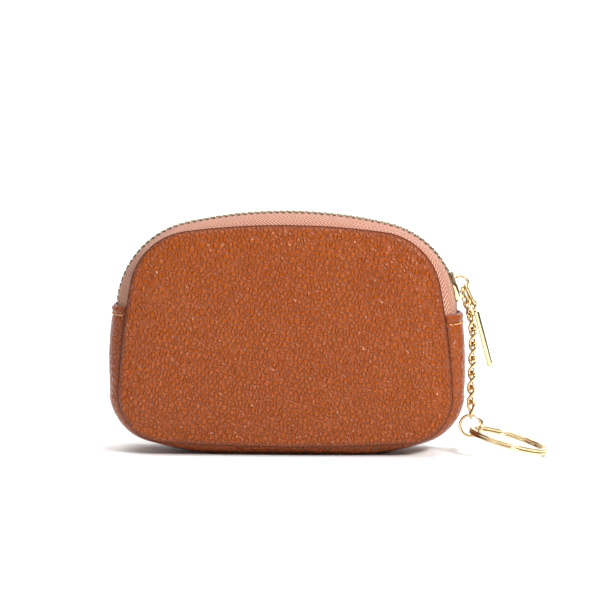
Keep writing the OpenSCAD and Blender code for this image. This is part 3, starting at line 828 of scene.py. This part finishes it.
# %% Run a tree on a line
def through_tree(name, tree, points, values, closed=False):
    mesh = bpy.data.meshes.new(name + "_line")
    count = len(points)
    edges = [(i, i + 1) for i in range(count - 1)] + ([(count - 1, 0)] if closed else [])
    mesh.from_pydata([tuple(float(c) * MM for c in p) for p in points], edges, [])
    holder = bpy.data.objects.new(name + "_line", mesh)
    bpy.context.scene.collection.objects.link(holder)
    modifier = holder.modifiers.new("tree", "NODES")
    modifier.node_group = tree
    for item in tree.interface.items_tree:
        if item.item_type == "SOCKET" and item.in_out == "INPUT" and item.name in values:
            modifier[item.identifier] = values[item.name]
    bpy.context.view_layer.update()
    shown = holder.evaluated_get(bpy.context.evaluated_depsgraph_get())
    made = bpy.data.objects.new(name, bpy.data.meshes.new_from_object(shown))
    made.data.name = name
    bpy.context.scene.collection.objects.link(made)
    bpy.data.objects.remove(holder)
    return made


def small_model(name, fill):
    """A small mesh for a tree to repeat. It is removed again when the tree has run."""
    edit = bmesh.new()
    fill(edit)
    mesh = bpy.data.meshes.new(name)
    edit.to_mesh(mesh)
    edit.free()
    made = bpy.data.objects.new(name, mesh)
    bpy.context.scene.collection.objects.link(made)
    return made


# %% [markdown]
# ## Teeth
# A metal tooth is a small stamped block that is crimped round the edge of the tape. Its head is
# narrower than its body. X runs along the zip, Y across it, and Z out of the pouch. Each section
# of it is [place across, half width, half height].

# %% One tooth and both rows
PITCH, TOOTH_W = 2.15, 2.9
REACH = TOOTH_W * 0.26
SLIDER_AT = 16.5
teeth_right = top_length + SHOULDER_R * math.radians(top_a - SLIDER_AT + 2)
teeth_left = top_length + SHOULDER_R * math.radians(top_a - 4)


def tooth_shape(side):
    def fill(edit):
        heel = REACH - TOOTH_W
        sections = [(heel, 0.3, 0.75), (heel + 0.35, 0.475, 1.0), (-0.55, 0.475, 1.15),
                    (0.15, 0.36, 0.95), (REACH, 0.2, 0.6)]
        rings = []
        for y, half_x, half_z in sections:
            cut = 0.3 * half_x
            in_x, in_z = half_x - cut, half_z - cut
            outline = [(-half_x, -in_z), (-in_x, -half_z), (in_x, -half_z), (half_x, -in_z),
                       (half_x, in_z), (in_x, half_z), (-in_x, half_z), (-half_x, in_z)]
            rings.append([edit.verts.new((x * MM, -side * y * MM, z * MM)) for x, z in outline])
        for a, b in zip(rings, rings[1:]):
            for k in range(8):
                edit.faces.new((a[k], a[(k + 1) % 8], b[(k + 1) % 8], b[k]))
        edit.faces.new(rings[0][::-1])
        edit.faces.new(rings[-1])
        bmesh.ops.recalc_face_normals(edit, faces=edit.faces)
    return fill


def tooth_row(name, side, first, node):
    places = np.arange(first - teeth_left, teeth_right, PITCH)
    along = [zip_at(s) for s in np.linspace(places[0], places[-1], 400)]
    tooth = small_model("tooth", tooth_shape(side))
    row = through_tree(name, repeat_tree, [(x, 0, z) for x, z in along],
                       {"Piece": tooth, "Count": len(places), "Finish": tooth_brass})
    bpy.data.objects.remove(tooth)
    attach(row, "pouch")
    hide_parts(node)
    print(name, len(places), "teeth")


tooth_row("front_tooth_row", -1, 0.0, "front_teeth")
tooth_row("back_tooth_row", 1, PITCH / 2, "back_teeth")

# %% [markdown]
# ## Stitches
# The panels are sewn to the strip and tapes with a lock stitch of about 2.6 mm, which sits deep in
# the groove. Each hem has its own row, in a paler thread that shows. A stitch is a short spindle
# that dips into the leather at both ends.

# %% One stitch
STITCH_DIP = 0.16


def stitch_shape(length, thick):
    def fill(edit):
        rings = []
        for t in np.linspace(-1, 1, 7):
            r = thick / 2 * (1 - 0.75 * abs(t) ** 3)
            dip = STITCH_DIP * t * t
            rings.append([edit.verts.new((t * length / 2 * MM, r * math.cos(a) * MM,
                                          (r * math.sin(a) - dip) * MM))
                          for a in np.linspace(0, 2 * math.pi, 6, endpoint=False)])
        for a, b in zip(rings, rings[1:]):
            for k in range(6):
                edit.faces.new((a[k], a[(k + 1) % 6], b[(k + 1) % 6], b[k])).smooth = True
        edit.faces.new(rings[0][::-1])
        edit.faces.new(rings[-1])
        bmesh.ops.recalc_face_normals(edit, faces=edit.faces)
    return fill


print("a stitch dips by, mm:", STITCH_DIP)

# %% [markdown]
# A seam row lies a little inside the seam line, all the way round, and closes on itself.

# %% Seam stitches
SEAM_STITCH = 2.6
SEAM_INSET = 0.62


def seam_row(name, side, node):
    at = seam_line[:, :2] - SEAM_INSET * seam_line[:, 2:]
    line_points = [(x, side * (SEAM_Y - 0.05), z) for x, z in at]
    line_points.append(line_points[0])
    stitch = small_model("stitch", stitch_shape(SEAM_STITCH * 0.8, 0.45))
    count = round(seam_length / SEAM_STITCH)
    row = through_tree(name, repeat_tree, line_points,
                       {"Piece": stitch, "Count": count, "Finish": seam_thread})
    bpy.data.objects.remove(stitch)
    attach(row, "pouch")
    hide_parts(node)
    print(name, count, "stitches")


seam_row("front_seam_stitches", -1, "front_seam_thread")
seam_row("back_seam_stitches", 1, "back_seam_thread")

# %% [markdown]
# The hem rows follow the dent across the strip. Both rows are joined into one piece, because they
# stand for one node.

# %% Hem stitches
HEM_COUNT = 11
OFF_LEATHER = 0.12


def station_down(distance, left):
    gone = run_out if left else run_out[-1] - run_out[::-1]
    return int(np.argmin(np.abs(gone - distance)))


def hem_line(left):
    from_end = station_down(STITCH_DOWN, left)
    index = from_end if left else len(strip_in) - 1 - from_end
    outward = np.append(strip_frame(index)[1], 0)[[0, 2, 1]]
    return [strip_grid[index, k] + OFF_LEATHER * outward
            for k in range(len(across)) if abs(across[k]) < 0.93]


def joined(name, pieces, material):
    edit = bmesh.new()
    for piece in pieces:
        edit.from_mesh(piece.data)
        bpy.data.objects.remove(piece)
    mesh = bpy.data.meshes.new(name)
    edit.to_mesh(mesh)
    edit.free()
    mesh.materials.append(material)
    made = bpy.data.objects.new(name, mesh)
    bpy.context.scene.collection.objects.link(made)
    return made


def hem_row(left):
    stitch = small_model("hem_stitch", stitch_shape(2.2, 0.5))
    row = through_tree("hem_row", repeat_tree, hem_line(left),
                       {"Piece": stitch, "Count": HEM_COUNT, "Finish": hem_thread})
    bpy.data.objects.remove(stitch)
    return row


hem_rows = joined("hem_rows", [hem_row(True), hem_row(False)], hem_thread)
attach(hem_rows, "pouch")
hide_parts("hem_stitches")
print("hem rows:", len(hem_rows.data.polygons), "faces")

# %% [markdown]
# ## Metal pieces from the frame
# The slider, its bail, the pull and the stops have the right shape already. A CAD mesh is loose
# triangles with knife edges, and real castings have small round ones that catch the light. So a
# copy is merged, its flat faces are joined, and a bevel rounds what is sharp.

# %% Refine a copy of a node
def refined(name, node, body, material, width):
    edit = bmesh.new()
    edit.from_mesh(frame["nodes"][node].data)
    bmesh.ops.remove_doubles(edit, verts=edit.verts, dist=0.004 * MM)
    bmesh.ops.dissolve_limit(edit, angle_limit=math.radians(0.5), verts=edit.verts,
                             edges=edit.edges)
    mesh = bpy.data.meshes.new(name)
    edit.to_mesh(mesh)
    edit.free()
    mesh.materials.clear()
    mesh.materials.append(material)
    mesh.polygons.foreach_set("use_smooth", [True] * len(mesh.polygons))
    made = bpy.data.objects.new(name, mesh)
    bpy.context.scene.collection.objects.link(made)
    if width:
        bevel = made.modifiers.new("edges", "BEVEL")
        bevel.width, bevel.segments, bevel.limit_method = width * MM, 2, "ANGLE"
        bevel.angle_limit = math.radians(35)
        bevel.harden_normals = True
    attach(made, body)
    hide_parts(node)
    return made


refined("slider_casting", "slider_body", "slider", gold, 0.16)
refined("slider_loop", "slider_bail", "slider", gold, 0)
refined("pull_frame", "pull_link", "pull_link", gold, 0)
refined("pull_tab", "pull_bar", "pull_bar", gold, 0.28)
refined("end_stops", "top_stops", "pouch", tooth_brass, 0.2)
refined("start_stop", "bottom_stop", "pouch", tooth_brass, 0.2)

# %% [markdown]
# ## Chain
# The chain is a twisted curb chain: each link is an oval of wire, turned a quarter about its own
# length, so that neighbours lie close. A link's line is an oval whose sideways axis turns from
# one end to the other. The first and last links turn half as far, to lie square on the loop above
# and on the jump ring below.

# %% Twisted links
LINKS = 9
CHAIN_W, CHAIN_D = 3.9, 1.0
OVER_SEAT = CHAIN_D + 0.05
TWIST_LOW, TWIST_HIGH, SQUARE = 45, 135, 90
hang = [joints[f"chain_{i}_swing"] / MM for i in range(1, LINKS + 1)]
hang.append(joints["jump_ring_swing"] / MM)


def smooth_step(t):
    return t * t * (3 - 2 * t)


def link_line(top, bottom, low_turn, high_turn):
    up = (top - bottom).normalized()
    across_x = (Vector((1, 0, 0)) - up * up.x).normalized()
    across_y = up.cross(across_x)
    length = (top - bottom).length + OVER_SEAT
    r = (CHAIN_W - CHAIN_D) / 2
    straight = length - 2 * r
    half_turn = np.linspace(0, math.pi, 13)
    oval = [(r * math.cos(a), r + r * math.sin(a)) for a in half_turn + math.pi]
    oval += [(r, r + straight * t) for t in np.linspace(0, 1, 8)[1:-1]]
    oval += [(r * math.cos(a), r + straight + r * math.sin(a)) for a in half_turn]
    oval += [(-r, r + straight * t) for t in np.linspace(1, 0, 8)[1:-1]]
    points = []
    for side, along in oval:
        share = smooth_step(min(1.0, max(0.0, (along / length - 0.12) / 0.76)))
        turn = math.radians(low_turn + (high_turn - low_turn) * share)
        sideways = across_x * math.cos(turn) + across_y * math.sin(turn)
        points.append(bottom + up * along + sideways * side)
    return points


for i in range(1, LINKS + 1):
    low_turn = SQUARE if i == LINKS else TWIST_LOW
    high_turn = SQUARE if i == 1 else TWIST_HIGH
    link = through_tree(f"curb_link_{i}", wire_tree,
                        link_line(hang[i - 1], hang[i], low_turn, high_turn),
                        {"Radius": CHAIN_D / 2 * MM, "Sides": 12, "Finish": chain_gold},
                        closed=True)
    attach(link, f"chain_{i}")
    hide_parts(f"chain_link_{i}")
print("links:", LINKS)

# %% [markdown]
# ## Jump ring and key ring
# The jump ring is round wire bent a little more than once round, so its two ends lie side by side
# at the right.

# %% Jump ring
JUMP_R, JUMP_D, JUMP_RISE, SPREAD = 3.65, 1.1, 0.95, 0.32
LAP = 42
jump_low, jump_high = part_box("jump_ring")
jump_c = (jump_low + jump_high) / 2 / MM
jump_points = []
for t in np.linspace(0, 1, 84):
    angle = math.radians(-LAP + 8 + t * (360 + 2 * LAP - 20))
    near_end = (abs(t - 0.5) * 2) ** 6
    r = JUMP_R + (SPREAD if t > 0.5 else -SPREAD) * near_end
    spot = Vector((r * math.cos(angle), (t - 0.5) * JUMP_RISE, r * math.sin(angle)))
    jump_points.append(jump_c + spot)
jump = through_tree("jump_wire", wire_tree, jump_points,
                    {"Radius": JUMP_D / 2 * MM, "Sides": 14, "Finish": gold})
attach(jump, "jump_ring")
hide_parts("jump_ring")
print("jump ring:", len(jump.data.polygons), "faces")

# %% [markdown]
# The key ring is flat wire in two turns, one on the other, with a short ramp between them. Its
# section has small round corners, and is carried round in steps of a few degrees.

# %% Key ring
KEY_R, KEY_W, KEY_T, KEY_DROP = 13.9, 1.9, 0.95, 15.6
RAMP_AT, RAMP = 356, 26
CORNER, CORNER_CUT = 0.26, 0.08
key_pin = joints["key_ring_swing"] / MM
tilt = Matrix.Rotation(math.radians(KEY_DROP), 3, "Y")
lower, upper = -KEY_T - 0.04, 0.04


def wire_height(angle):
    return lower + (upper - lower) * smooth_step(min(1.0, max(0.0, (angle - RAMP_AT) / RAMP)))


def key_section():
    w, t, c, s = KEY_W, KEY_T, CORNER, CORNER_CUT
    return [(c, 0), (w - c, 0), (w - s, s), (w, c), (w, t - c), (w - s, t - s),
            (w - c, t), (c, t), (s, t - s), (0, t - c), (0, c), (s, s)]


def key_ring_mesh():
    section = key_section()
    edit = bmesh.new()
    loops = []
    for angle in np.arange(18, 718.1, 3.5):
        turned = math.radians(angle)
        loop = []
        for from_inside, up in section:
            r = KEY_R - KEY_W + from_inside
            local = Vector((KEY_R - KEY_W / 2 + r * math.cos(turned), r * math.sin(turned),
                            wire_height(angle) + up))
            loop.append(edit.verts.new((tilt @ local + key_pin) * MM))
        loops.append(loop)
    for a, b in zip(loops, loops[1:]):
        for k in range(len(section)):
            after = (k + 1) % len(section)
            edit.faces.new((a[k], b[k], b[after], a[after])).smooth = True
    edit.faces.new(loops[0])
    edit.faces.new(loops[-1][::-1])
    bmesh.ops.recalc_face_normals(edit, faces=edit.faces)
    mesh = bpy.data.meshes.new("split_ring")
    edit.to_mesh(mesh)
    edit.free()
    mesh.materials.append(gold)
    return mesh


split_ring = bpy.data.objects.new("split_ring", key_ring_mesh())
bpy.context.scene.collection.objects.link(split_ring)
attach(split_ring, "key_ring")
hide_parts("key_ring")
print("key ring:", len(split_ring.data.polygons), "faces")

# %% [markdown]
# ## The hidden layers
# Foam and lining keep their plain solids, which the leather closes in, and get their finishes.

# %% Foam and lining
hidden_finishes = {"front_foam": padding_foam, "back_foam": padding_foam,
                   "front_lining": lining_cloth, "back_lining": lining_cloth,
                   "strip_lining": lining_cloth}
for node, finish in hidden_finishes.items():
    hidden = frame["nodes"][node].data
    hidden.materials.clear()
    hidden.materials.append(finish)
print("hidden pieces:", len(hidden_finishes))

# %% [markdown]
# ## Stage, lights and camera
# The pouch stands on a white sweep: a floor that curves up into a wall far behind.

# %% Sweep
FLOOR_FROM, FLOOR_TO, CURVE_R, WALL_TOP, SWEEP_HALF = -1.2, 0.9, 0.5, 2.2, 2.5


def sweep_mesh():
    profile = [(FLOOR_FROM, 0.0), (FLOOR_TO, 0.0)]
    profile += [(FLOOR_TO + CURVE_R * math.sin(a), CURVE_R - CURVE_R * math.cos(a))
                for a in np.linspace(0.1, math.pi / 2, 12)]
    profile += [(FLOOR_TO + CURVE_R, WALL_TOP)]
    count = len(profile)
    mesh = bpy.data.meshes.new("sweep")
    mesh.from_pydata([(x, y, z) for x in (-SWEEP_HALF, SWEEP_HALF) for y, z in profile], [],
                     [(i, count + i, count + i + 1, i + 1) for i in range(count - 1)])
    mesh.polygons.foreach_set("use_smooth", [True] * (count - 1))
    mesh.materials.append(white_paper())
    return mesh


def white_paper():
    material, tree, shader = new_material("white_paper_sweep")
    place = add(tree, "ShaderNodeTexCoord").outputs["Object"]
    fibre = add(tree, "ShaderNodeTexNoise", {"Vector": place, "Scale": 60.0, "Detail": 4.0})
    tone = blend(tree, fibre.outputs["Fac"], colour("#F6F6F5"), colour("#FAFAF9"))
    tree.links.new(tone, shader.inputs["Base Color"])
    shader.inputs["Roughness"].default_value = 0.9
    return material


sweep = bpy.data.objects.new("sweep", sweep_mesh())
bpy.context.scene.collection.objects.link(sweep)
print("sweep:", len(sweep.data.polygons), "faces")

# %% [markdown]
# The room itself is dim at eye level and bright overhead. A wide soft light stands above and a
# small one to the right, with a weak fill at the left, so the leather shows its pebbles and the
# metal gets bright bands between darker ones. One more lamp whitens the wall.

# %% Lights
world = bpy.data.worlds.new("studio")
bpy.context.scene.world = world
world.use_nodes = True
air = world.node_tree
direction = add(air, "ShaderNodeTexCoord").outputs["Generated"]
overhead = add(air, "ShaderNodeSeparateXYZ", {"Vector": direction}).outputs["Z"]
strength = remap(air, overhead, (0.05, 0.75), (0.08, 0.62), interpolation_type="SMOOTHSTEP")
background = air.nodes["Background"]
air.links.new(strength, background.inputs["Strength"])
background.inputs["Color"].default_value = (0.96, 0.98, 1.0, 1)


def softbox(name, at, aim, width, height, watts):
    lamp = bpy.data.lights.new(name, "AREA")
    lamp.shape, lamp.size, lamp.size_y, lamp.energy = "RECTANGLE", width, height, watts
    made = bpy.data.objects.new(name, lamp)
    made.location = at
    made.rotation_euler = (Vector(aim) - Vector(at)).to_track_quat("-Z", "Y").to_euler()
    bpy.context.scene.collection.objects.link(made)
    return made


softbox("key_right", (0.42, -0.55, 0.45), (0, 0, 0.04), 0.14, 0.14, 7.5)
softbox("top", (0.05, -0.18, 0.68), (0, 0, 0.04), 0.8, 0.26, 3.2)
softbox("fill_left", (-0.6, -0.7, 0.3), (0, 0, 0.04), 0.5, 0.5, 0.4)
softbox("wall", (0, 0.5, 1.6), (0, 1.4, 0.5), 2.0, 0.6, 24.0)

# %% [markdown]
# The camera stands a little above the pouch and a little to its right, far enough away for a long
# lens. It looks just above the middle of the pouch, toward the chain.

# %% Camera
AZIMUTH, ELEVATION, DISTANCE = math.radians(3.0), math.radians(6.3), 1.13
aim = Vector((4.4, 0, 51.8)) * MM
back = Vector((math.sin(AZIMUTH) * math.cos(ELEVATION), -math.cos(AZIMUTH) * math.cos(ELEVATION),
               math.sin(ELEVATION)))
lens = bpy.data.cameras.new("camera")
lens.lens, lens.sensor_width = 200.0, 36.0
lens.clip_start, lens.clip_end = 0.01, 20.0
camera = bpy.data.objects.new("camera", lens)
camera.location = aim + back * DISTANCE
camera.rotation_euler = (-back).to_track_quat("-Z", "Y").to_euler()
bpy.context.scene.collection.objects.link(camera)
bpy.context.scene.camera = camera
bpy.context.scene.view_settings.view_transform = "Standard"
